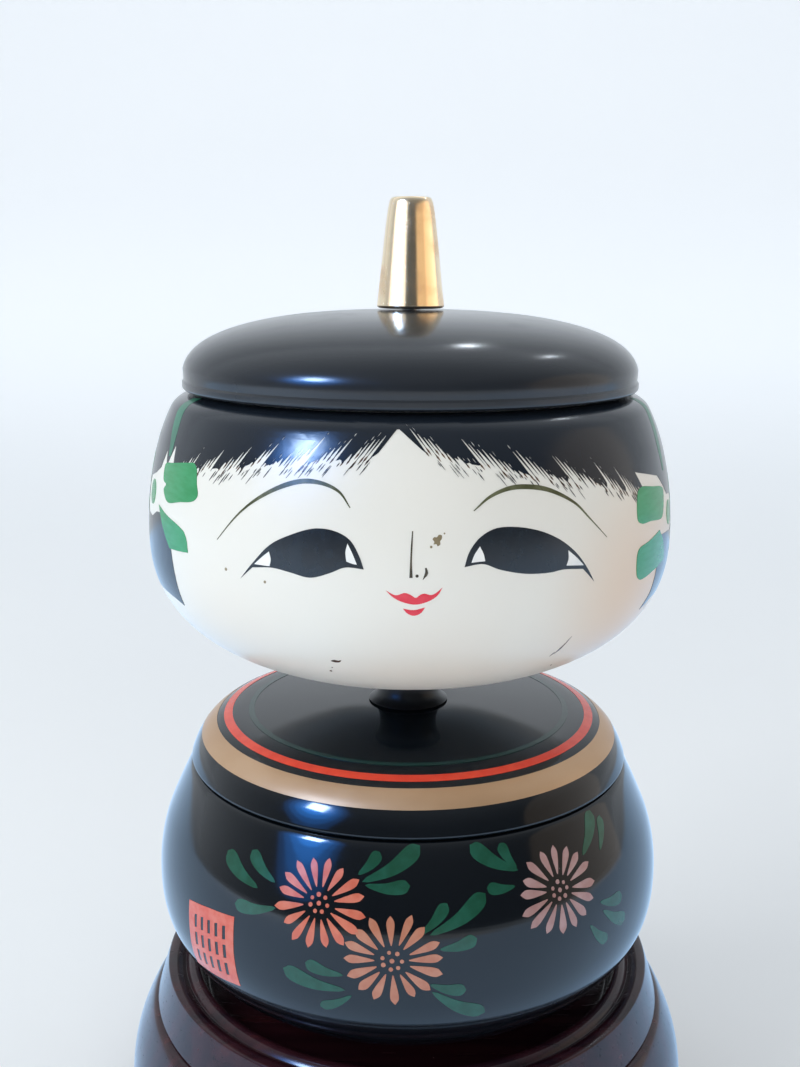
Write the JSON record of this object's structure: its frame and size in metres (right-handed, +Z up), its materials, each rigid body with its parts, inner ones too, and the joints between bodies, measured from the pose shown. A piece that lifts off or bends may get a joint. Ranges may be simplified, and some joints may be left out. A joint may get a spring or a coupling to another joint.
{
  "type": "kokeshi doll container",
  "caption": "Turned lacquered kokeshi doll on a stand: round head with a lift-off hair lid and metal knob, turning neck, banded shoulder lid and flowered body bowl.",
  "frame": {"origin": "under the middle of the stand, on the surface it stands on", "axes": "+Z up along the doll's turning axis, the painted face looks towards -Y, +X to the right as the face is seen"},
  "size_m": [0.115, 0.115, 0.1922],
  "materials": {
    "rosewood_lacquer": "deep red-brown lacquer over turned wood, gloss",
    "black_lacquer": "black lacquer over turned wood, high gloss, painted flowers",
    "neck_lacquer": "black lacquer over turned wood",
    "ivory_lacquer": "ivory lacquer over turned wood, painted face and hair, gloss",
    "hair_lacquer": "black lacquer over turned wood, gloss",
    "brass": "turned and polished",
    "steel": "bright zinc plate"
  },
  "bodies": {
    "stand": {"stand": "rosewood_lacquer"},
    "body": {"body_bowl": "black_lacquer"},
    "shoulder": {"shoulder_lid": "black_lacquer", "neck": "neck_lacquer", "neck_screw": "steel", "neck_washer": "steel"},
    "head": {"head_bowl": "ivory_lacquer"},
    "hair_lid": {"hair_lid": "hair_lacquer", "finial_knob": "brass", "finial_screw": "steel", "finial_washer": "steel"}
  },
  "joints": [
    {"name": "body_lift", "type": "slide", "parent": "stand", "child": "body", "axis": [0, 0, 1], "range_m": [0, 0.06]},
    {"name": "shoulder_lift", "type": "slide", "parent": "body", "child": "shoulder", "axis": [0, 0, 1], "range_m": [0, 0.06]},
    {"name": "head_turn", "type": "hinge", "parent": "shoulder", "child": "head", "pos_m": [0, 0, 0.104], "axis": [0, 0, 1], "continuous": true},
    {"name": "hair_lid_lift", "type": "slide", "parent": "head", "child": "hair_lid", "axis": [0, 0, 1], "range_m": [0, 0.06]}
  ]
}
